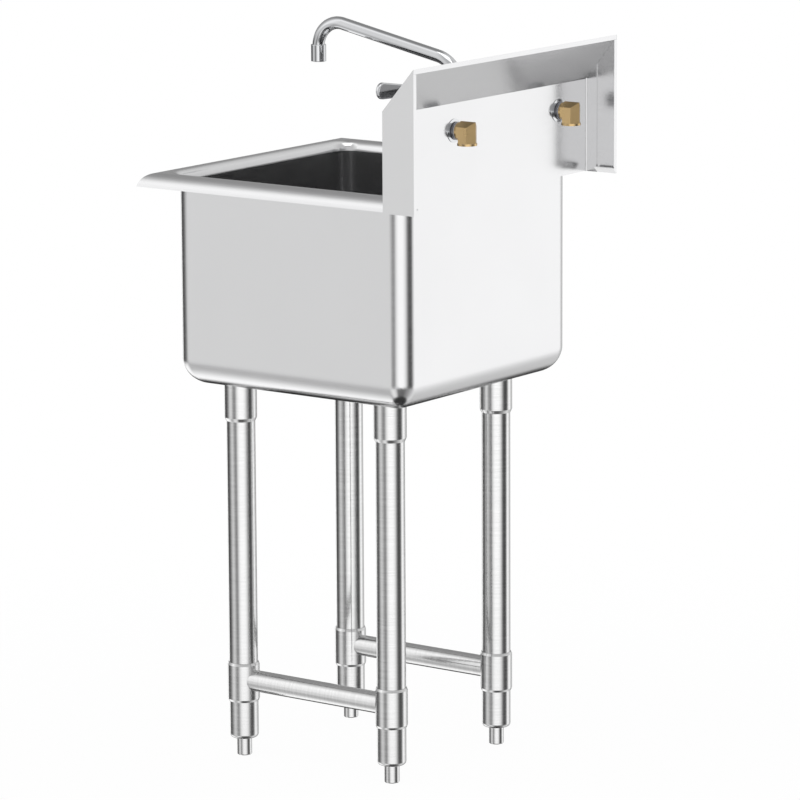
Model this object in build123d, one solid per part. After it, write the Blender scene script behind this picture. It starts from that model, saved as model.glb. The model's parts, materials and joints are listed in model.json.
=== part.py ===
from build123d import *
from math import atan2, cos, degrees, hypot, radians, sin, sqrt, tan
import os

os.makedirs("parts", exist_ok=True)

# Free-standing utility sink, millimetres, +Z up, floor at z = 0.
# The user stands at -Y; the splash and the wall are at +Y.
# The origin is the centre of the bounding box's underside.

# ---------------------------------------------------------------- overall
overall_width = 491.6
overall_depth = 487.0
sheet = 1.2            # gauge of the bowl, splash and tube walls
slip = 0.2             # radial gap of a tube pushed into a sleeve
running_gap = 0.08     # radial gap of a turning or sliding shaft
weld_gap = 0.05        # gap left at a curved welded joint

front_y = -overall_depth / 2
back_y = overall_depth / 2

# ---------------------------------------------------------------- bowl
bowl_width = 400.6
bowl_length = 399.4
bowl_corner = 24.0
bowl_floor_corner = 38.0
bowl_depth = 302.8          # from the rim's crest to the underside
rim_top_z = 850.0
rim_lip_offset = 36.8       # outer lip of the roll, outside the bowl wall
rim_roll_height = 18.7
rim_roll_radius = 22.4
rim_mouth_radius = 14.5

bowl_front_y = front_y + rim_lip_offset
bowl_back_y = bowl_front_y + bowl_length
bowl_mid_y = (bowl_front_y + bowl_back_y) / 2
bowl_under_z = rim_top_z - bowl_depth
rim_base_z = rim_top_z - rim_roll_height
rim_roll_width = sqrt(rim_roll_height * (2 * rim_roll_radius - rim_roll_height))
floor_top_z = bowl_under_z + sheet

# ---------------------------------------------------------------- splash
splash_rise = 179.8          # from the rim's crest to the splash's top edge
splash_fold_rise = 114.1     # from the rim's crest to the fold of the sloped top
splash_hem = 6.8
splash_end_bend = 3.2
splash_end_tab = 16.0
cap_corner_lift = 5.8        # the cap's corner above the fold
cap_foot = 8.0              # rise and run of the inclined fold under each cap

splash_top_z = rim_top_z + splash_rise
splash_fold_z = rim_top_z + splash_fold_rise
cap_corner_z = splash_fold_z + cap_corner_lift
panel_front_y = bowl_back_y - sheet
cap_inner_x = overall_width / 2 - sheet

# ---------------------------------------------------------------- legs
leg_radius = 20.65
leg_spacing_x = 256.8
leg_spacing_y = 263.2
leg_forward = 9.3           # the legs' centre is this far in front of the bowl's
leg_bottom_z = 32.5
socket_wall = 2.75           # outside the leg tube
socket_height = 56.4
socket_cap = 3.0
socket_lip_height = 5.0
socket_lip = 2.2            # how far the socket's lower end is drawn in
collar_wall = 2.3
collar_bottom_z = 80.5
collar_height = 57.1
collar_taper = 1.5
collar_taper_height = 3.5
rail_radius = 15.25
rail_offset_z = 2.5         # the rail's axis above the collar's middle
screw_radius = 4.0
screw_proud = 2.0
screw_socket_radius = 2.0
screw_socket_depth = 2.5

leg_mid_y = bowl_mid_y - leg_forward
socket_radius = leg_radius + socket_wall
socket_bottom_z = bowl_under_z - socket_height
collar_radius = leg_radius + collar_wall
collar_mid_z = collar_bottom_z + collar_height / 2
rail_z = collar_mid_z + rail_offset_z
socket_mid_z = (socket_bottom_z + bowl_under_z) / 2
leg_inner = leg_radius - sheet
leg_top_z = bowl_under_z - socket_cap - slip

# ---------------------------------------------------------------- feet
plug_cap_height = 6.5
plug_round = 5.5
plug_spigot = 62.0
plug_end_wall = 3.0
foot_radius = 10.8
foot_length = 70.0
foot_edge = 1.2

plug_bottom_z = leg_bottom_z - plug_cap_height

# ---------------------------------------------------------------- drain
drain_hole_clearance = 2.5
strainer_flange_width = 14.0  # outside the cup
strainer_flange = 1.6
strainer_cup_radius = 42.0
strainer_cup_depth = 21.0    # below the underside of the bowl
tail_radius = 19.0
tail_length = 13.0
tail_wall = 1.5
gasket_thickness = 3.0
gasket_width = 10.0
locknut_thickness = 6.0
locknut_width = 10.0
basket_gap = 0.5            # lip of the basket inside the cup
basket_lip = 5.0             # inside the cup's outer radius
basket_depth = 11.0
basket_hole_radius = 2.5
basket_hole_count = 12
basket_post_radius = 4.0
basket_post_height = 17.0
basket_knob_radius = 8.0
stopper_radius = 23.0
stopper_thickness = 3.0

drain_hole_radius = strainer_cup_radius + drain_hole_clearance
strainer_flange_radius = strainer_cup_radius + strainer_flange_width
basket_radius = strainer_cup_radius - basket_lip

# ---------------------------------------------------------------- faucet
faucet_x = -44.9
faucet_rise = 75.8           # axis of the bar above the rim's crest
faucet_reach = 79.8          # spout axis in front of the splash
valve_spacing = 203.2
inlet_spacing = 253.6        # the arms splay out to the holes in the splash
bar_radius = 14.0
arm_radius = 11.0
tower_radius = 17.0
tower_height = 20.4
tower_drop = 17.0
waterway_radius = 6.5
pocket_margin = 1.5          # how much wider a pocket is than the bores that meet in it
hub_wall = 7.0               # outside the spout tube
hub_port_radius = 5.0
hub_height = 18.0
shank_radius = 10.3
splash_hole_clearance = 1.2
flange_radius = 26.0
flange_thickness = 9.0
knuckle_radius = 14.5
knuckle_setback = 20.0
washer_width = 6.2           # outside the shank
washer_thickness = 1.6
back_nut_wall = 2.3
back_nut_thickness = 6.0
back_nut_groove = 0.8

elbow_flats = 24.6
elbow_leg_y = 22.5           # vertical leg's axis behind the bowl's back face
elbow_leg_down = 15.6
elbow_ring_radius = 13.8
elbow_ring = 3.2
elbow_bore_radius = 9.3
elbow_bore_depth = 14.0

stem_radius = 4.0
stem_seat_radius = 8.5
stem_seat_dip = 1.5          # how far the valve's seat reaches into the waterway
bonnet_radius = 13.0
bonnet_height = 16.0
bonnet_chamfer = 1.5
handle_hub_radius = 12.5
handle_hub_height = 20.0
handle_gap = 0.6
blade_reach = 92.0
blade_tip_radius = 11.5
blade_root_height = 14.0
blade_thickness = 7.0
blade_tilt = 5.5
blade_edge = 2.4
handle_screw_radius = 5.0
handle_screw_height = 2.0

spout_radius = 9.0
spout_wall = 1.1
spout_slope = 11.9
spout_low_bend = 45.0
spout_tip_bend = 36.5
spout_reach = 246.5          # from the riser's axis to the outlet's axis
spout_bend_rise = 38.5       # where the riser starts to bend, above the bar's axis
spout_end_rise = 79.5        # where the tube enters the aerator, above the bar's axis
spout_seat = 26.0            # length of the riser inside the hub and nut
spout_nut_wall = 6.0
spout_nut_height = 15.0
seal_height = 5.0
aerator_wall = 2.0           # outside the spout tube
aerator_height = 18.5
aerator_lap = 6.0
aerator_bore = 8.0

faucet_y = panel_front_y - faucet_reach
faucet_z = rim_top_z + faucet_rise
bar_top_z = faucet_z + bar_radius
tower_top_z = faucet_z + tower_height
bonnet_top_z = tower_top_z + bonnet_height
stem_seat_z = faucet_z + waterway_radius - stem_seat_dip
hub_top_z = faucet_z + hub_height
hub_bore_radius = spout_radius + 2.4
spout_bend_z = faucet_z + spout_bend_rise
spout_end_z = faucet_z + spout_end_rise
spout_bottom_z = spout_bend_z - spout_seat
hub_radius = spout_radius + hub_wall
spout_nut_radius = spout_radius + spout_nut_wall
aerator_radius = spout_radius + aerator_wall
splash_hole_radius = shank_radius + splash_hole_clearance
back_nut_radius = shank_radius + back_nut_wall
washer_radius = shank_radius + washer_width
elbow_y = bowl_back_y + elbow_leg_y
washer_y = bowl_back_y + washer_thickness
nut_end_y = washer_y + back_nut_thickness

SIDES = {"left": -1, "right": 1}
ENDS = {"front": -1, "back": 1}
VALVES = {"hot": -1, "cold": 1}


# ---------------------------------------------------------------- helpers
def save(shape, node):
    """Writes one sub-part under its own name."""
    export_step(shape, f"parts/{node}.step")


def disc(radius, low_z, high_z, x=0.0, y=0.0):
    """A cylinder along Z between two heights."""
    height = high_z - low_z
    return Pos(x, y, low_z + height / 2) * Cylinder(radius, height)


def ring(outer, inner, low_z, high_z, x=0.0, y=0.0):
    """A tube along Z between two heights."""
    return disc(outer, low_z, high_z, x, y) - disc(inner, low_z - 1, high_z + 1, x, y)


def rod_y(radius, start_y, end_y, x, z):
    """A cylinder along Y between two places."""
    length = end_y - start_y
    return Pos(x, start_y + length / 2, z) * Rot(90, 0, 0) * Cylinder(radius, length)


def rod_x(radius, start_x, end_x, y, z):
    """A cylinder along X between two places."""
    length = end_x - start_x
    return Pos(start_x + length / 2, y, z) * Rot(0, 90, 0) * Cylinder(radius, length)


def block(low, high):
    """A box between two corners."""
    size = [b - a for a, b in zip(low, high)]
    middle = [(a + b) / 2 for a, b in zip(low, high)]
    return Pos(*middle) * Box(*size)


def strip(points, thickness):
    """A flat strip of even thickness to the left of an open line of points, mitred at its folds."""
    count = len(points)
    normals = []
    for (x0, y0), (x1, y1) in zip(points, points[1:]):
        length = hypot(x1 - x0, y1 - y0)
        normals.append((-(y1 - y0) / length, (x1 - x0) / length))
    inner = []
    for i in range(count):
        before = normals[max(i - 1, 0)]
        after = normals[min(i, count - 2)]
        scale = thickness / (1 + before[0] * after[0] + before[1] * after[1])
        x = points[i][0] + scale * (before[0] + after[0])
        y = points[i][1] + scale * (before[1] + after[1])
        inner.append((x, y))
    return Polyline(*points, *reversed(inner), close=True)


def prism_x(line, start_x, end_x):
    """A closed line drawn in (Y, Z), made solid between two places along X."""
    face = make_face(Plane.YZ * line)
    return Pos(start_x, 0, 0) * extrude(face, amount=end_x - start_x, dir=(1, 0, 0))


def hexagon_z(flats, low_z, high_z, x, y):
    """A hexagonal bar along Z with two flats facing along X."""
    face = RegularPolygon(flats / 2, 6, major_radius=False)
    face = Rot(0, 0, 30) * face if abs(face.bounding_box().size.X - flats) > 0.01 else face
    return Pos(x, y, low_z) * extrude(face, amount=high_z - low_z)


# ---------------------------------------------------------------- bowl
def rim_block(thin):
    """A slab with its outer edges rolled over and a round-cornered mouth, drawn in by a thickness."""
    inset = sheet - thin
    lip = rim_lip_offset + rim_roll_radius - rim_roll_width - thin
    half = bowl_width / 2 + lip
    low_z = rim_top_z - 2 * rim_roll_radius - thin
    low = (-half, bowl_front_y - lip, low_z)
    slab = block(low, (half, back_y + bowl_corner, rim_top_z - thin))
    outer = slab.edges().group_by(Axis.Z)[-1].sort_by(Axis.Y)[:3]
    slab = fillet(outer, rim_roll_radius - thin)
    mouth_y = (bowl_front_y + bowl_back_y) / 2
    mouth = RectangleRounded(
        bowl_width - 2 * inset, bowl_length - 2 * inset, bowl_corner - inset
    )
    slab -= Pos(0, mouth_y, low_z - 1) * extrude(mouth, amount=3 * rim_roll_radius)
    inner = slab.edges().group_by(Axis.Z)[-1].filter_by_position(
        Axis.X, -bowl_width / 2, bowl_width / 2
    )
    inner = inner.filter_by_position(Axis.Y, bowl_front_y, bowl_back_y)
    return fillet(inner, rim_mouth_radius - thin)


def rolled_rim():
    shell = rim_block(0) - rim_block(sheet)
    reach = bowl_width
    return shell & block((-reach, -reach, rim_base_z), (reach, panel_front_y, rim_top_z + 1))


def tub(inset):
    """The bowl's outside, or with an inset its inside."""
    low_z = bowl_under_z + inset
    low = (-bowl_width / 2 + inset, bowl_front_y + inset, low_z)
    high = (bowl_width / 2 - inset, bowl_back_y - inset, rim_base_z)
    body = block(low, high)
    body = fillet(body.edges().group_by(Axis.Z)[0], bowl_floor_corner - inset)
    return fillet(body.edges().filter_by(Axis.Z), bowl_corner - inset)


def bowl():
    body = tub(0) - tub(sheet) + rolled_rim()
    hole = disc(drain_hole_radius, bowl_under_z - 1, floor_top_z + 1, 0, bowl_mid_y)
    return body - hole


# ---------------------------------------------------------------- splash
def splash_outline():
    """Front face of the splash in (Y, Z): panel, sloped top and the hem behind it."""
    return [
        (panel_front_y, rim_base_z),
        (panel_front_y, splash_fold_z),
        (back_y, splash_top_z),
        (back_y, splash_top_z - splash_hem),
    ]


def backsplash():
    flat_half = cap_inner_x - splash_end_bend
    outline = splash_outline()
    panel = strip(outline, -sheet)
    middle = prism_x(panel, -flat_half, flat_half)
    top = strip(outline[1:], -sheet)
    body = middle + prism_x(top, -cap_inner_x + slip, cap_inner_x - slip)
    above = [
        outline[1],
        outline[2],
        (back_y, splash_top_z + sheet),
        (panel_front_y, splash_top_z + sheet),
    ]
    for side in SIDES.values():
        body += splash_end(side, flat_half, above)
    for side in VALVES.values():
        x = faucet_x + side * inlet_spacing / 2
        body -= rod_y(splash_hole_radius, panel_front_y - 1, bowl_back_y + 1, x, faucet_z)
    return body


def splash_end(side, flat_half, above):
    """The panel's end, bent back round a quarter turn with a short tab along the cap."""
    centre_y = panel_front_y + splash_end_bend
    outer = splash_end_bend - slip
    bend = ring(outer, outer - sheet, rim_base_z, splash_top_z, side * flat_half, centre_y)
    far = side * (flat_half + 2 * splash_end_bend)
    low_x, high_x = sorted((side * flat_half, far))
    keep = block(
        (low_x, panel_front_y - 1, rim_base_z), (high_x, centre_y, splash_top_z)
    )
    bend = Pos(0, slip, 0) * (bend & keep)
    bend = bend & keep
    edge_x = side * (flat_half + outer)
    low_x, high_x = sorted((edge_x, edge_x - side * sheet))
    tab = block(
        (low_x, centre_y, rim_base_z), (high_x, centre_y + splash_end_tab, splash_top_z)
    )
    low_x, high_x = sorted((side * (flat_half - 1), side * overall_width))
    cover = prism_x(Polyline(*above, close=True), low_x, high_x)
    return bend + tab - cover


def end_cap(side):
    """A flat plate with folds along its back edge and under its foot."""
    plate = Polyline(
        (panel_front_y, rim_base_z),
        (panel_front_y, cap_corner_z),
        (back_y, splash_top_z),
        (back_y, rim_base_z),
        close=True,
    )
    low_x, high_x = sorted((side * cap_inner_x, side * overall_width / 2))
    body = prism_x(plate, low_x, high_x)
    hem_x = overall_width / 2 - splash_hem
    foot_x = cap_inner_x - cap_foot
    foot_z = rim_base_z + cap_foot
    hem_low = rim_base_z + cap_inner_x - hem_x
    hem_top = splash_top_z - splash_hem - slip
    hem = Polyline(
        (side * cap_inner_x, rim_base_z),
        (side * cap_inner_x, hem_top),
        (side * hem_x, hem_top),
        (side * hem_x, hem_low),
        close=True,
    )
    hem = extrude(make_face(Plane.XZ * hem), amount=sheet, dir=(0, 1, 0))
    body += Pos(0, back_y - sheet, 0) * hem
    foot = Polyline(
        (side * cap_inner_x, rim_base_z),
        (side * foot_x, foot_z),
        (side * foot_x, foot_z + sheet),
        (side * cap_inner_x, rim_base_z + sheet),
        close=True,
    )
    start_y = panel_front_y + splash_end_bend + splash_end_tab + slip
    foot = extrude(make_face(Plane.XZ * foot), amount=back_y - start_y, dir=(0, 1, 0))
    return body + Pos(0, start_y, 0) * foot


# ---------------------------------------------------------------- legs
def leg_place(side, end):
    return side * leg_spacing_x / 2, leg_mid_y + end * leg_spacing_y / 2


def taper_end(body, end, height, depth):
    """Draws in the lower (0) or upper (-1) end of a cylinder over a height by a depth."""
    wall = body.faces().filter_by(GeomType.CYLINDER)[0]
    return chamfer(body.edges().group_by(Axis.Z)[end], height, depth, reference=wall)


def leg_socket(x, y):
    body = disc(socket_radius, socket_bottom_z, bowl_under_z, x, y)
    body = taper_end(body, 0, socket_lip_height, socket_lip)
    body -= disc(leg_radius + slip, socket_bottom_z - 1, bowl_under_z - socket_cap, x, y)
    return body - screw_hole(x, y, socket_mid_z)


def screw_hole(x, y, z):
    """The hole for a set screw, on the -X side of a sleeve."""
    return rod_x(screw_radius + slip, x - socket_radius - 5, x - leg_radius + 3, y, z)


def set_screw(x, y, z, sleeve_radius):
    start_x = x - sleeve_radius - screw_proud
    body = rod_x(screw_radius, start_x, x - leg_radius - slip / 2, y, z)
    key = Rot(0, 90, 0) * extrude(
        RegularPolygon(screw_socket_radius, 6), amount=screw_socket_depth
    )
    return body - Pos(start_x, y, z) * key


def leg(x, y):
    return ring(leg_radius, leg_inner, leg_bottom_z, leg_top_z, x, y)


def collar(x, y):
    top_z = collar_bottom_z + collar_height
    body = disc(collar_radius, collar_bottom_z, top_z, x, y)
    body = taper_end(body, 0, collar_taper_height, collar_taper)
    body = taper_end(body, -1, collar_taper_height, collar_taper)
    body -= disc(leg_radius + slip, collar_bottom_z - 1, top_z + 1, x, y)
    return body - screw_hole(x, y, collar_mid_z)


def side_rail(side):
    """A tube between a front and a back collar, its ends cut to the collars."""
    x, start_y = leg_place(side, -1)
    end_y = leg_place(side, 1)[1]
    body = rod_y(rail_radius, start_y, end_y, x, rail_z)
    body -= rod_y(rail_radius - sheet, start_y - 1, end_y + 1, x, rail_z)
    low_z = rail_z - 2 * rail_radius
    high_z = rail_z + 2 * rail_radius
    for y in (start_y, end_y):
        body -= disc(collar_radius + weld_gap, low_z, high_z, x, y)
    return body


# ---------------------------------------------------------------- feet
def foot_plug(x, y):
    """The cap under a leg's end, with its spigot inside the tube and a bore for the foot."""
    top_z = leg_bottom_z + plug_spigot
    cap = disc(leg_radius, plug_bottom_z, leg_bottom_z, x, y)
    cap = fillet(cap.edges().group_by(Axis.Z)[0], plug_round)
    body = cap + disc(leg_inner - slip / 2, leg_bottom_z, top_z, x, y)
    bore = disc(foot_radius + running_gap, plug_bottom_z - 1, top_z - plug_end_wall, x, y)
    return body - bore


def foot(x, y):
    body = disc(foot_radius, 0, foot_length, x, y)
    return chamfer(body.edges().group_by(Axis.Z)[0], foot_edge)


# ---------------------------------------------------------------- drain
def strainer_body():
    """Flange on the bowl's floor, a cup through the hole and a tail for the trap."""
    y = bowl_mid_y
    cup_z = bowl_under_z - strainer_cup_depth
    tail_z = cup_z - tail_length
    flange_z = floor_top_z + strainer_flange
    body = disc(strainer_flange_radius, floor_top_z, flange_z, 0, y)
    body = fillet(body.edges().group_by(Axis.Z)[-1], strainer_flange * 0.8)
    body += disc(strainer_cup_radius, cup_z, floor_top_z, 0, y)
    body += disc(tail_radius, tail_z, cup_z, 0, y)
    body -= disc(strainer_cup_radius - sheet, cup_z + sheet, flange_z + 1, 0, y)
    return body - disc(tail_radius - tail_wall, tail_z - 1, cup_z + 2, 0, y)


def strainer_gasket():
    high_z = bowl_under_z
    inner = strainer_cup_radius + slip
    return ring(inner + gasket_width, inner, high_z - gasket_thickness, high_z, 0, bowl_mid_y)


def strainer_nut():
    high_z = bowl_under_z - gasket_thickness
    inner = strainer_cup_radius + slip
    body = ring(inner + locknut_width, inner, high_z - locknut_thickness, high_z, 0, bowl_mid_y)
    for i in range(4):
        place = Pos(0, bowl_mid_y, high_z - locknut_thickness / 2) * Rot(0, 0, 90 * i)
        notch = Pos(inner + locknut_width, 0, 0) * Box(6, 12, locknut_thickness + 2)
        body -= place * notch
    return body


basket_low_z = bowl_under_z - strainer_cup_depth + sheet + stopper_thickness + running_gap


def strainer_basket():
    """A perforated cup with a lift knob."""
    y = bowl_mid_y
    top_z = basket_low_z + basket_depth
    body = disc(basket_radius, basket_low_z, top_z, 0, y)
    body = fillet(body.edges().group_by(Axis.Z)[0], 3)
    body -= disc(basket_radius - sheet, basket_low_z + sheet, top_z + 1, 0, y)
    lip_radius = strainer_cup_radius - sheet - basket_gap
    lip = ring(lip_radius, basket_radius - sheet, top_z - sheet, top_z, 0, y)
    body += lip
    hole_ring = (stopper_radius + basket_radius - sheet) / 2
    for i in range(basket_hole_count):
        turn = radians(360 * i / basket_hole_count)
        x = hole_ring * cos(turn)
        hole_y = y + hole_ring * sin(turn)
        body -= disc(basket_hole_radius, basket_low_z - 1, basket_low_z + 3, x, hole_y)
    post_z = basket_low_z + basket_post_height
    body += disc(basket_post_radius, basket_low_z, post_z, 0, y)
    knob = disc(basket_knob_radius, post_z, post_z + 5, 0, y)
    return body + fillet(knob.edges(), 1.8)


def basket_stopper():
    """Rubber disc under the basket; it shuts the tail when the basket is down."""
    low_z = basket_low_z - stopper_thickness
    return disc(stopper_radius, low_z, basket_low_z, 0, bowl_mid_y)


# ---------------------------------------------------------------- faucet
def valve_x(side):
    return faucet_x + side * valve_spacing / 2


def inlet_x(side):
    return faucet_x + side * inlet_spacing / 2


def slanted_rod(radius, start, end):
    """A level cylinder between two points (x, y) at the faucet's height."""
    dx = end[0] - start[0]
    dy = end[1] - start[1]
    middle = ((start[0] + end[0]) / 2, (start[1] + end[1]) / 2, faucet_z)
    turn = degrees(atan2(dy, dx))
    return Pos(*middle) * Rot(0, 0, turn) * Rot(0, 90, 0) * Cylinder(radius, hypot(dx, dy))


def faucet_body():
    """Cross bar, two valve towers, the spout's hub and two arms that end in threaded shanks."""
    knuckle_y = panel_front_y - knuckle_setback
    shank_end = nut_end_y + 0.5
    body = rod_x(bar_radius, valve_x(-1), valve_x(1), faucet_y, faucet_z)
    body += disc(hub_radius, faucet_z, hub_top_z, faucet_x, faucet_y)
    for side in VALVES.values():
        x = valve_x(side)
        inlet = (inlet_x(side), knuckle_y)
        tower = disc(tower_radius, faucet_z - tower_drop, tower_top_z, x, faucet_y)
        body += fillet(tower.edges().group_by(Axis.Z)[0], 5)
        body += slanted_rod(arm_radius, (x, faucet_y), inlet)
        body += Pos(*inlet, faucet_z) * Sphere(knuckle_radius)
        body += rod_y(shank_radius, knuckle_y, shank_end, inlet[0], faucet_z)
    return body - faucet_waterways(knuckle_y, shank_end + 1)


def faucet_waterways(knuckle_y, end_y):
    """The bores of the bar, hub, towers and arms, with a wider pocket wherever two bores meet."""
    pocket = waterway_radius + pocket_margin
    water = rod_x(waterway_radius, valve_x(-1), valve_x(1), faucet_y, faucet_z)
    water += disc(hub_port_radius, faucet_z, hub_top_z, faucet_x, faucet_y)
    water += disc(hub_bore_radius, spout_bottom_z - 2, hub_top_z + 1, faucet_x, faucet_y)
    well_radius = stem_seat_radius + running_gap
    for side in VALVES.values():
        x = valve_x(side)
        inlet = (inlet_x(side), knuckle_y)
        water += disc(well_radius, faucet_z - pocket, tower_top_z + 1, x, faucet_y)
        water += slanted_rod(waterway_radius, (x, faucet_y), inlet)
        water += disc(pocket, faucet_z - pocket, faucet_z + pocket, *inlet)
        water += rod_y(waterway_radius, knuckle_y, end_y, inlet[0], faucet_z)
    return water


def inlet_flange(side):
    """The bell that covers the hole in the splash, between the arm and the panel."""
    x = inlet_x(side)
    body = rod_y(flange_radius, panel_front_y - flange_thickness, panel_front_y, x, faucet_z)
    rim = body.edges().group_by(Axis.Y)[0]
    body = fillet(rim, flange_thickness * 0.8)
    start_y = panel_front_y - flange_thickness - 1
    bore = rod_y(shank_radius + slip, start_y, panel_front_y + 1, x, faucet_z)
    knuckle_y = panel_front_y - knuckle_setback
    return body - bore - Pos(x, knuckle_y, faucet_z) * Sphere(knuckle_radius + slip)


def mounting_washer(side):
    x = inlet_x(side)
    body = rod_y(washer_radius, bowl_back_y, washer_y, x, faucet_z)
    return body - rod_y(shank_radius + slip, bowl_back_y - 1, washer_y + 1, x, faucet_z)


def hexagon_y(flats, start_y, end_y, x, z):
    """A hexagonal bar along Y with two flats facing along X."""
    bar = hexagon_z(flats, 0, end_y - start_y, 0, 0)
    return Pos(x, end_y, z) * Rot(90, 0, 0) * bar


def mounting_nut(side):
    """A round lock nut with grooves around it."""
    x = inlet_x(side)
    body = rod_y(back_nut_radius, washer_y, nut_end_y, x, faucet_z)
    body -= rod_y(shank_radius + slip, washer_y - 1, nut_end_y + 1, x, faucet_z)
    for share in (0.3, 0.7):
        middle = washer_y + share * back_nut_thickness
        start_y = middle - back_nut_groove / 2
        end_y = middle + back_nut_groove / 2
        groove = rod_y(back_nut_radius + 1, start_y, end_y, x, faucet_z)
        body -= groove - rod_y(back_nut_radius - back_nut_groove, start_y, end_y, x, faucet_z)
    return body


def supply_elbow(side):
    """A brass elbow, hexagonal and mitred, with a round collar at each end."""
    x = inlet_x(side)
    ring_end_y = nut_end_y + 1 + elbow_ring
    low_z = faucet_z - elbow_leg_down
    reach = 2 * elbow_flats
    level = hexagon_y(elbow_flats, ring_end_y, elbow_y + reach, x, faucet_z)
    upright = hexagon_z(elbow_flats, low_z, faucet_z + reach, x, elbow_y)
    above = Polyline(
        (elbow_y - reach, faucet_z - reach),
        (elbow_y + reach, faucet_z + reach),
        (elbow_y - reach, faucet_z + reach),
        close=True,
    )
    above = prism_x(above, x - reach, x + reach)
    body = (level & above) + (upright - above)
    body += rod_y(elbow_ring_radius - 1.5, nut_end_y + 1, ring_end_y + 1, x, faucet_z)
    body += disc(elbow_ring_radius, low_z - elbow_ring, low_z, x, elbow_y)
    mouth_z = low_z - elbow_ring
    body -= disc(elbow_bore_radius, mouth_z - 1, mouth_z + elbow_bore_depth, x, elbow_y)
    pocket = waterway_radius + pocket_margin
    body -= disc(pocket, mouth_z, faucet_z + pocket, x, elbow_y)
    return body - rod_y(waterway_radius, nut_end_y, elbow_y, x, faucet_z)


def valve_stem(side):
    """The turning stem: a seat disc in the tower and a spindle up into the handle."""
    x = valve_x(side)
    top_z = bonnet_top_z + handle_gap + handle_hub_height - handle_screw_height - 4
    body = disc(stem_seat_radius, stem_seat_z, tower_top_z - running_gap, x, faucet_y)
    return body + disc(stem_radius, tower_top_z - 1, top_z, x, faucet_y)


def valve_bonnet(side):
    x = valve_x(side)
    body = disc(bonnet_radius, tower_top_z, bonnet_top_z, x, faucet_y)
    body = chamfer(body.edges().group_by(Axis.Z)[-1], bonnet_chamfer)
    bore = stem_radius + running_gap
    return body - disc(bore, tower_top_z - 1, bonnet_top_z + 1, x, faucet_y)


def handle(side):
    """A round hub with one upright paddle that widens to a round tip and rises outwards."""
    low_z = bonnet_top_z + handle_gap
    top_z = low_z + handle_hub_height
    x = valve_x(side)
    hub = disc(handle_hub_radius, low_z, top_z, x, faucet_y)
    hub = fillet(hub.edges().group_by(Axis.Z)[-1], 3)
    tip = blade_reach - blade_tip_radius
    root = blade_root_height / 2
    side_angle = atan2(blade_tip_radius - root, tip)
    tip_x = tip - blade_tip_radius * sin(side_angle)
    tip_z = blade_tip_radius * cos(side_angle)
    outline = Polyline((0, -root), (tip_x, -tip_z), (tip_x, tip_z), (0, root), close=True)
    blade = make_face(outline) + Pos(tip, 0) * Circle(blade_tip_radius)
    blade = extrude(blade, amount=blade_thickness / 2, both=True)
    edges = blade.faces().filter_by(Axis.Z).edges()
    blade = fillet(edges, blade_edge)
    blade = Rot(90, 0, 0) * blade
    blade = Rot(0, -blade_tilt, 0) * blade
    if side < 0:
        blade = Rot(0, 0, 180) * blade
    blade = Pos(x, faucet_y, low_z + handle_hub_height / 2) * blade
    screw_z = top_z - handle_screw_height
    body = hub + blade
    body -= disc(stem_radius + slip, low_z - 1, screw_z - 3.5, x, faucet_y)
    return body - disc(handle_screw_radius + slip, screw_z, top_z + 9, x, faucet_y)


def handle_screw(side):
    x = valve_x(side)
    top_z = bonnet_top_z + handle_gap + handle_hub_height
    body = disc(handle_screw_radius, top_z - handle_screw_height, top_z + 0.6, x, faucet_y)
    body = fillet(body.edges().group_by(Axis.Z)[-1], 0.5)
    slot = block(
        (x - handle_screw_radius, faucet_y - 0.6, top_z - 0.4),
        (x + handle_screw_radius, faucet_y + 0.6, top_z + 2),
    )
    return body - slot


def spout_path():
    """Riser, long sloping arm and the drop to the outlet, in the plane of the faucet's axis."""
    slope = tan(radians(spout_slope))
    corner = spout_low_bend * tan(radians((90 - spout_slope) / 2))
    low_corner = (faucet_y, spout_bend_z + corner)
    outlet_y = faucet_y - spout_reach
    high_corner = (outlet_y, low_corner[1] + slope * spout_reach)
    points = [
        (faucet_x, faucet_y, spout_bottom_z),
        (faucet_x, *low_corner),
        (faucet_x, *high_corner),
        (faucet_x, outlet_y, spout_end_z),
    ]
    return FilletPolyline(*points, radius=[spout_low_bend, spout_tip_bend])


def spout():
    path = spout_path()
    start = Plane(origin=path @ 0, z_dir=path % 0)
    section = start * (Circle(spout_radius) - Circle(spout_radius - spout_wall))
    return sweep(section, path=path)


def spout_nut():
    inner = spout_radius + running_gap
    low_z = hub_top_z
    body = disc(spout_nut_radius, low_z, low_z + spout_nut_height, faucet_x, faucet_y)
    body = chamfer(body.edges().group_by(Axis.Z)[-1], 2.5)
    return body - disc(inner, low_z - 1, low_z + spout_nut_height + 1, faucet_x, faucet_y)


def spout_seal():
    outer = hub_bore_radius - slip
    low_z = hub_top_z - seal_height
    return ring(outer, spout_radius + slip, low_z, hub_top_z, faucet_x, faucet_y)


def aerator():
    y = faucet_y - spout_reach
    top_z = spout_end_z + aerator_lap
    low_z = top_z - aerator_height - aerator_lap
    body = disc(aerator_radius, low_z, top_z, faucet_x, y)
    body = fillet(body.edges(), 1.0)
    body -= disc(spout_radius + slip, spout_end_z - slip, top_z + 1, faucet_x, y)
    return body - disc(aerator_bore, low_z - 1, top_z, faucet_x, y)


# ---------------------------------------------------------------- write
save(bowl(), "bowl")
save(backsplash(), "backsplash")
for name, side in SIDES.items():
    save(end_cap(side), f"end_cap_{name}")
    save(side_rail(side), f"side_rail_{name}")

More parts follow.
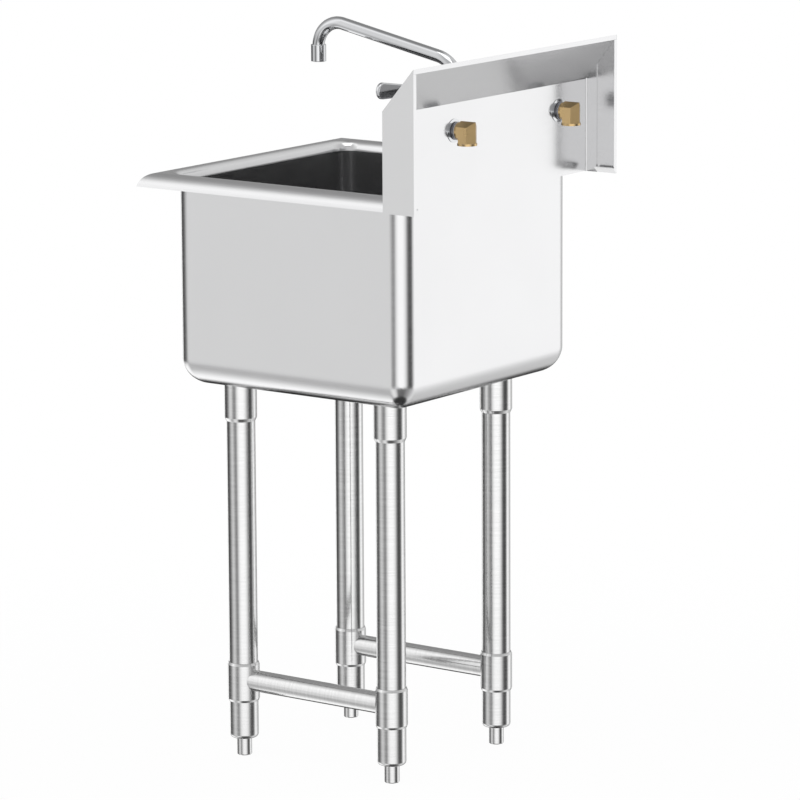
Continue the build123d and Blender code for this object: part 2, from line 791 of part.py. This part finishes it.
socket_screws = []
collar_screws = []
for end_name, end in ENDS.items():
    for side_name, side in SIDES.items():
        x, y = leg_place(side, end)
        place = f"{end_name}_{side_name}"
        save(leg_socket(x, y), f"leg_socket_{place}")
        save(leg(x, y), f"leg_{place}")
        save(collar(x, y), f"rail_collar_{place}")
        save(foot_plug(x, y), f"foot_plug_{place}")
        save(foot(x, y), f"foot_{place}")
        socket_screws.append(set_screw(x, y, socket_mid_z, socket_radius))
        collar_screws.append(set_screw(x, y, collar_mid_z, collar_radius))
save(Compound(children=socket_screws), "socket_screws")
save(Compound(children=collar_screws), "collar_screws")

save(strainer_body(), "strainer_body")
save(strainer_gasket(), "strainer_gasket")
save(strainer_nut(), "strainer_nut")
save(strainer_basket(), "strainer_basket")
save(basket_stopper(), "basket_stopper")

save(faucet_body(), "faucet_body")
save(spout(), "spout")
save(spout_nut(), "spout_nut")
save(spout_seal(), "spout_seal")
save(aerator(), "aerator")
for name, side in VALVES.items():
    save(inlet_flange(side), f"inlet_flange_{name}")
    save(mounting_washer(side), f"mounting_washer_{name}")
    save(mounting_nut(side), f"mounting_nut_{name}")
    save(supply_elbow(side), f"supply_elbow_{name}")
    save(valve_stem(side), f"valve_stem_{name}")
    save(valve_bonnet(side), f"valve_bonnet_{name}")
    save(handle(side), f"handle_{name}")
    save(handle_screw(side), f"handle_screw_{name}")
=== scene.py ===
import json
import math

import bpy
from mathutils import Matrix, Vector

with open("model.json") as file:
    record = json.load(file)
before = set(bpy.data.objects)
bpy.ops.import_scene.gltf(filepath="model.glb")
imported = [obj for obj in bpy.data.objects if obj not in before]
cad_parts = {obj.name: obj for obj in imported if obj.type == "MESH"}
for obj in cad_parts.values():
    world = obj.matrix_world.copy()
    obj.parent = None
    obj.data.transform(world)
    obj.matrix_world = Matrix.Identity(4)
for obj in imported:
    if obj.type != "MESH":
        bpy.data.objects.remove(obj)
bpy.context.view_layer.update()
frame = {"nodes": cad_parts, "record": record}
nodes = frame["nodes"]


# ---------------------------------------------------------------- node helpers
def new_material(name):
    mat = bpy.data.materials.new(name)
    mat.use_nodes = True
    tree = mat.node_tree
    shader = tree.nodes["Principled BSDF"]
    return mat, tree, shader


def noise(tree, scale, detail, rough, stretch=(1, 1, 1)):
    """Noise in the object's own coordinates, squeezed along the axes where stretch is above 1."""
    coord = tree.nodes.new("ShaderNodeTexCoord")
    mapping = tree.nodes.new("ShaderNodeMapping")
    mapping.inputs["Scale"].default_value = stretch
    tree.links.new(coord.outputs["Object"], mapping.inputs["Vector"])
    tex = tree.nodes.new("ShaderNodeTexNoise")
    tex.inputs["Scale"].default_value = scale
    tex.inputs["Detail"].default_value = detail
    tex.inputs["Roughness"].default_value = rough
    tree.links.new(mapping.outputs["Vector"], tex.inputs["Vector"])
    return tex.outputs["Fac"]


def remap(tree, value, low, high, from_low=0.3, from_high=0.7):
    node = tree.nodes.new("ShaderNodeMapRange")
    node.inputs["From Min"].default_value = from_low
    node.inputs["From Max"].default_value = from_high
    node.inputs["To Min"].default_value = low
    node.inputs["To Max"].default_value = high
    tree.links.new(value, node.inputs["Value"])
    return node.outputs["Result"]


def tint(tree, value, dark, light):
    node = tree.nodes.new("ShaderNodeMix")
    node.data_type = "RGBA"
    node.inputs["A"].default_value = (*dark, 1)
    node.inputs["B"].default_value = (*light, 1)
    tree.links.new(value, node.inputs["Factor"])
    return node.outputs["Result"]


def bump(tree, value, strength, distance):
    node = tree.nodes.new("ShaderNodeBump")
    node.inputs["Strength"].default_value = strength
    node.inputs["Distance"].default_value = distance
    tree.links.new(value, node.inputs["Height"])
    return node.outputs["Normal"]


def brushed_steel(name, dark, light, rough, stretch, scale=60, cloud=0.02, depth=0.00002):
    """Stainless with fine drawn lines and a slow cloudiness in its roughness."""
    mat, tree, shader = new_material(name)
    lines = noise(tree, scale, 6, 0.75, stretch)
    slow = noise(tree, 9, 3, 0.5)
    shader.inputs["Metallic"].default_value = 1.0
    colour = tint(tree, remap(tree, lines, 0, 1), dark, light)
    tree.links.new(colour, shader.inputs["Base Color"])
    fine = remap(tree, lines, rough - 0.05, rough + 0.05)
    add = tree.nodes.new("ShaderNodeMath")
    add.operation = "ADD"
    tree.links.new(fine, add.inputs[0])
    tree.links.new(remap(tree, slow, -cloud, cloud), add.inputs[1])
    tree.links.new(add.outputs["Value"], shader.inputs["Roughness"])
    tree.links.new(bump(tree, lines, 0.18, depth), shader.inputs["Normal"])
    return mat


def polished(name, dark, light, rough, spots=0.02):
    """Plated or polished metal with a very faint haze."""
    mat, tree, shader = new_material(name)
    haze = noise(tree, 40, 5, 0.6)
    shader.inputs["Metallic"].default_value = 1.0
    tree.links.new(tint(tree, haze, dark, light), shader.inputs["Base Color"])
    tree.links.new(remap(tree, haze, rough, rough + spots), shader.inputs["Roughness"])
    tree.links.new(bump(tree, haze, 0.08, 0.0001), shader.inputs["Normal"])
    return mat


def threaded(name):
    """Dark plated metal with fine turns along the pipe's axis; its colour goes near black in each
    turn's groove, painted shade.
    """
    mat, tree, shader = new_material(name)
    coord = tree.nodes.new("ShaderNodeTexCoord")
    turns = tree.nodes.new("ShaderNodeTexWave")
    turns.wave_type = "BANDS"
    turns.bands_direction = "Y"
    turns.inputs["Scale"].default_value = 180
    turns.inputs["Distortion"].default_value = 1.5
    tree.links.new(coord.outputs["Object"], turns.inputs["Vector"])
    shader.inputs["Metallic"].default_value = 1.0
    # painted shade: the colour darkens where the bump sinks into the grooves of the turns
    colour = tint(tree, turns.outputs["Fac"], (0.05, 0.05, 0.06), (0.34, 0.34, 0.36))
    tree.links.new(colour, shader.inputs["Base Color"])
    tree.links.new(remap(tree, turns.outputs["Fac"], 0.22, 0.34), shader.inputs["Roughness"])
    tree.links.new(bump(tree, turns.outputs["Fac"], 0.5, 0.0004), shader.inputs["Normal"])
    return mat


def rubber(name):
    mat, tree, shader = new_material(name)
    grain = noise(tree, 900, 3, 0.6)
    tree.links.new(
        tint(tree, grain, (0.018, 0.018, 0.018), (0.04, 0.04, 0.04)), shader.inputs["Base Color"]
    )
    tree.links.new(remap(tree, grain, 0.55, 0.75), shader.inputs["Roughness"])
    tree.links.new(bump(tree, grain, 0.2, 0.0001), shader.inputs["Normal"])
    return mat


def dress(names, mat):
    for name in names:
        mesh = nodes[name].data
        mesh.materials.clear()
        mesh.materials.append(mat)


# ---------------------------------------------------------------- materials
flat_lines = (1, 1, 40)
long_lines = (1, 40, 1)
sheet_steel = brushed_steel(
    "sheet_brushed", (0.60, 0.60, 0.605), (0.645, 0.645, 0.65), 0.20, flat_lines, 25, 0.01
)
leg_steel = brushed_steel("leg_turned", (0.53, 0.53, 0.53), (0.69, 0.69, 0.69), 0.16, flat_lines, 22)
rail_steel = brushed_steel(
    "rail_turned", (0.53, 0.53, 0.53), (0.69, 0.69, 0.69), 0.16, long_lines, 22
)
screw_steel = brushed_steel(
    "screw_dark", (0.30, 0.30, 0.31), (0.42, 0.42, 0.43), 0.35, flat_lines
)
strainer_steel = polished("strainer_polished", (0.60, 0.60, 0.61), (0.70, 0.70, 0.71), 0.16)
chrome = polished("chrome_plate", (0.50, 0.505, 0.515), (0.56, 0.565, 0.575), 0.05)
brass = polished("brass_machined", (0.56, 0.39, 0.18), (0.66, 0.48, 0.25), 0.26, 0.06)
black_rubber = rubber("rubber_black")
dark_thread_groove_shade = threaded("thread_dark_groove_shade")

by_slot = {
    "bowl_steel": sheet_steel,
    "splash_steel": sheet_steel,
    "frame_steel": leg_steel,
    "foot_steel": leg_steel,
    "screw_steel": screw_steel,
    "strainer_steel": strainer_steel,
    "chrome": chrome,
    "brass": brass,
    "rubber": black_rubber,
}
for part in frame["record"]["subparts"]:
    dress([part["node"]], by_slot[part["material_slot"]])
dress(["side_rail_left", "side_rail_right"], rail_steel)
dress(["mounting_nut_hot", "mounting_nut_cold"], dark_thread_groove_shade)

# the photographed sheet shows no image of these fittings, so reflections leave them out
for valve in ("hot", "cold"):
    for fitting in ("supply_elbow", "mounting_nut", "mounting_washer"):
        nodes[f"{fitting}_{valve}"].visible_glossy = False


# ---------------------------------------------------------------- floor
FLOOR_GREY = 0.85
FLOOR_SEEN_WHITE = 0.97
FADE_FROM, FADE_TO = 0.45, 1.5
FLOOR_RADIUS = 1.6
FLOOR_GAP = 0.0005


def floor_material():
    """Near white, fading out to the background with distance; it keeps the object's soft shadow."""
    mat = bpy.data.materials.new("floor_pale")
    mat.use_nodes = True
    tree = mat.node_tree
    tree.nodes.clear()
    out = tree.nodes.new("ShaderNodeOutputMaterial")
    diffuse = tree.nodes.new("ShaderNodeBsdfDiffuse")
    diffuse.inputs["Color"].default_value = (FLOOR_GREY, FLOOR_GREY, FLOOR_GREY, 1)
    white = tree.nodes.new("ShaderNodeEmission")
    white.inputs["Strength"].default_value = 1.0
    path = tree.nodes.new("ShaderNodeLightPath")
    seen = tree.nodes.new("ShaderNodeMixShader")
    share = tree.nodes.new("ShaderNodeMath")
    share.operation = "MULTIPLY"
    share.inputs[1].default_value = FLOOR_SEEN_WHITE
    tree.links.new(path.outputs["Is Camera Ray"], share.inputs[0])
    tree.links.new(share.outputs["Value"], seen.inputs["Fac"])
    tree.links.new(diffuse.outputs["BSDF"], seen.inputs[1])
    tree.links.new(white.outputs["Emission"], seen.inputs[2])
    coord = tree.nodes.new("ShaderNodeTexCoord")
    length = tree.nodes.new("ShaderNodeVectorMath")
    length.operation = "LENGTH"
    tree.links.new(coord.outputs["Object"], length.inputs[0])
    fade = tree.nodes.new("ShaderNodeMapRange")
    fade.interpolation_type = "SMOOTHSTEP"
    fade.inputs["From Min"].default_value = FADE_FROM
    fade.inputs["From Max"].default_value = FADE_TO
    tree.links.new(length.outputs["Value"], fade.inputs["Value"])
    clear = tree.nodes.new("ShaderNodeBsdfTransparent")
    edge = tree.nodes.new("ShaderNodeMixShader")
    gone = tree.nodes.new("ShaderNodeMath")
    gone.operation = "MAXIMUM"
    tree.links.new(fade.outputs["Result"], gone.inputs[0])
    tree.links.new(path.outputs["Is Glossy Ray"], gone.inputs[1])
    tree.links.new(gone.outputs["Value"], edge.inputs["Fac"])
    tree.links.new(seen.outputs["Shader"], edge.inputs[1])
    tree.links.new(clear.outputs["BSDF"], edge.inputs[2])
    tree.links.new(edge.outputs["Shader"], out.inputs["Surface"])
    return mat


bpy.ops.mesh.primitive_circle_add(
    vertices=96, radius=FLOOR_RADIUS, fill_type="NGON", location=(0, 0, -FLOOR_GAP)
)
floor = bpy.context.object
floor.name = "floor"
floor.data.materials.append(floor_material())


# ---------------------------------------------------------------- world and lamps
def math_node(tree, operation, first, second=None):
    node = tree.nodes.new("ShaderNodeMath")
    node.operation = operation
    tree.links.new(first, node.inputs[0])
    if second is not None:
        tree.links.new(second, node.inputs[1])
    return node.outputs["Value"]


def ease(tree, value, start, end):
    """0 before start, 1 after end, soft between them."""
    node = tree.nodes.new("ShaderNodeMapRange")
    node.interpolation_type = "SMOOTHSTEP"
    node.inputs["From Min"].default_value = start
    node.inputs["From Max"].default_value = end
    tree.links.new(value, node.inputs["Value"])
    return node.outputs["Result"]


def blend(tree, share, first, second):
    node = tree.nodes.new("ShaderNodeMix")
    node.data_type = "RGBA"
    tree.links.new(share, node.inputs["Factor"])
    tree.links.new(first, node.inputs["A"])
    tree.links.new(second, node.inputs["B"])
    return node.outputs["Result"]


def ring(tree, share, stops):
    """A ramp over the share of a turn, from pairs of degrees and brightness."""
    node = tree.nodes.new("ShaderNodeValToRGB")
    tree.links.new(share, node.inputs["Fac"])
    elements = node.color_ramp.elements
    elements[1].position = 1.0
    for element, (degree, level) in zip(elements, (stops[0], stops[-1])):
        element.color = (level, level, level, 1)
    for degree, level in stops[1:-1]:
        element = elements.new(degree / 360 + 0.5)
        element.color = (level, level, level, 1)
    return node.outputs["Color"]


# brightness by direction round the object, in degrees from +X towards +Y
# what the upright surfaces see
ROOM = [
    (-180, 0.48), (-164, 0.40), (-151, 0.08), (-143, 0.01), (-134, 0.03), (-124, 0.90),
    (-111, 0.90), (-100, 0.10), (-88, 0.04), (-74, 0.10), (-62, 0.20), (-50, 0.50), (-42, 0.66),
    (-30, 0.64), (-20, 0.36), (-8, 0.20), (0, 0.30), (14, 0.80), (28, 1.0), (54, 1.0),
    (66, 0.86), (76, 0.62), (88, 0.20), (98, 0.06), (112, 0.06), (122, 0.15), (131, 0.60),
    (140, 0.94), (151, 0.94), (161, 0.62), (170, 0.50), (180, 0.48),
]
# what the undersides see
LOWER = [
    (-180, 0.50), (-174, 0.42), (-167, 0.15), (-159, 0.03), (-129, 0.02), (-121, 0.14),
    (-113, 0.55), (-105, 0.92), (-98, 1.0), (-84, 0.96), (-68, 0.78), (-58, 0.60), (-48, 0.40),
    (-38, 0.45), (-26, 0.70), (-10, 0.78), (4, 0.60), (18, 0.15), (60, 0.12), (100, 0.30),
    (130, 0.55), (148, 0.72), (154, 0.66), (159, 0.54), (172, 0.50), (180, 0.50),
]
# what the floor side sees straight below
NADIR = [(-180, 0.03), (180, 0.03)]
# what the tops see
UPPER = [
    (-180, 0.56), (-165, 0.48), (-152, 0.28), (-144, 0.23), (-114, 0.27), (-100, 0.31),
    (-89, 0.37), (-78, 0.44), (-68, 0.56), (-60, 0.72), (-53, 0.88), (-45, 0.98), (-38, 0.86),
    (-34, 0.76), (-10, 0.50), (30, 0.50), (90, 0.45), (130, 0.55), (160, 0.64), (180, 0.56),
]
LOWER_FROM, LOWER_TO = 0.24, 0.48
NADIR_FROM, NADIR_TO = 0.84, 0.92
UPPER_FROM, UPPER_TO = -0.06, 0.10
ROOM_LEVEL = 1.6


def studio_world():
    """White behind the object; around it a soft room, brighter and darker by direction."""
    world = bpy.data.worlds.new("studio")
    world.use_nodes = True
    tree = world.node_tree
    tree.nodes.clear()
    out = tree.nodes.new("ShaderNodeOutputWorld")
    coord = tree.nodes.new("ShaderNodeTexCoord").outputs["Generated"]
    split = tree.nodes.new("ShaderNodeSeparateXYZ")
    tree.links.new(coord, split.inputs["Vector"])
    height = split.outputs["Z"]
    share = tree.nodes.new("ShaderNodeMapRange")
    share.inputs["From Min"].default_value = -math.pi
    share.inputs["From Max"].default_value = math.pi
    turn = math_node(tree, "ARCTAN2", split.outputs["Y"], split.outputs["X"])
    tree.links.new(turn, share.inputs["Value"])
    share = share.outputs["Result"]
    room = ring(tree, share, ROOM)
    depth = tree.nodes.new("ShaderNodeMath")
    depth.operation = "MULTIPLY"
    tree.links.new(height, depth.inputs[0])
    depth.inputs[1].default_value = -1.0
    depth = depth.outputs["Value"]
    room = blend(tree, ease(tree, depth, LOWER_FROM, LOWER_TO), room, ring(tree, share, LOWER))
    room = blend(tree, ease(tree, depth, NADIR_FROM, NADIR_TO), room, ring(tree, share, NADIR))
    room = blend(tree, ease(tree, height, UPPER_FROM, UPPER_TO), room, ring(tree, share, UPPER))
    lit = tree.nodes.new("ShaderNodeBackground")
    lit.inputs["Strength"].default_value = ROOM_LEVEL
    tree.links.new(room, lit.inputs["Color"])
    white = tree.nodes.new("ShaderNodeBackground")
    white.inputs["Color"].default_value = (1, 1, 1, 1)
    white.inputs["Strength"].default_value = 1.0
    path = tree.nodes.new("ShaderNodeLightPath")
    mix = tree.nodes.new("ShaderNodeMixShader")
    tree.links.new(path.outputs["Is Camera Ray"], mix.inputs["Fac"])
    tree.links.new(lit.outputs["Background"], mix.inputs[1])
    tree.links.new(white.outputs["Background"], mix.inputs[2])
    tree.links.new(mix.outputs["Shader"], out.inputs["Surface"])
    bpy.context.scene.world = world


studio_world()


def softbox(name, place, target, size, power):
    light = bpy.data.lights.new(name, "AREA")
    light.shape = "RECTANGLE"
    light.size, light.size_y = size
    light.energy = power
    lamp = bpy.data.objects.new(name, light)
    bpy.context.scene.collection.objects.link(lamp)
    lamp.location = place
    lamp.rotation_euler = (Vector(target) - Vector(place)).to_track_quat("-Z", "Y").to_euler()
    return lamp


softbox("key", (0.5, 0.3, 3.2), (0, 0, 0.7), (1.6, 1.6), 12)

# ---------------------------------------------------------------- camera
# fitted to the photo, whose focal length is in its own pixels
photo_width = 800
focal_pixels = 4733.995
sensor_width = 36
yaw, pitch, roll = 3.77267859, 0.19139862, -0.00532013
camera_place = (5.32894, 3.93336, 1.79839)
ahead = Vector(
    (math.cos(pitch) * math.cos(yaw), math.cos(pitch) * math.sin(yaw), -math.sin(pitch))
)
level_right = Vector((math.sin(yaw), -math.cos(yaw), 0))
level_up = level_right.cross(ahead)
right = math.cos(roll) * level_right + math.sin(roll) * level_up
up = -math.sin(roll) * level_right + math.cos(roll) * level_up
camera_data = bpy.data.cameras.new("camera")
camera_data.sensor_fit = "HORIZONTAL"
camera_data.sensor_width = sensor_width
camera_data.lens = focal_pixels / photo_width * sensor_width
camera_data.clip_end = 100
camera = bpy.data.objects.new("camera", camera_data)
bpy.context.scene.collection.objects.link(camera)
turned = Matrix((right, up, -ahead)).transposed().to_4x4()
camera.matrix_world = Matrix.Translation(camera_place) @ turned
bpy.context.scene.camera = camera

bpy.context.scene.view_settings.view_transform = "Standard"
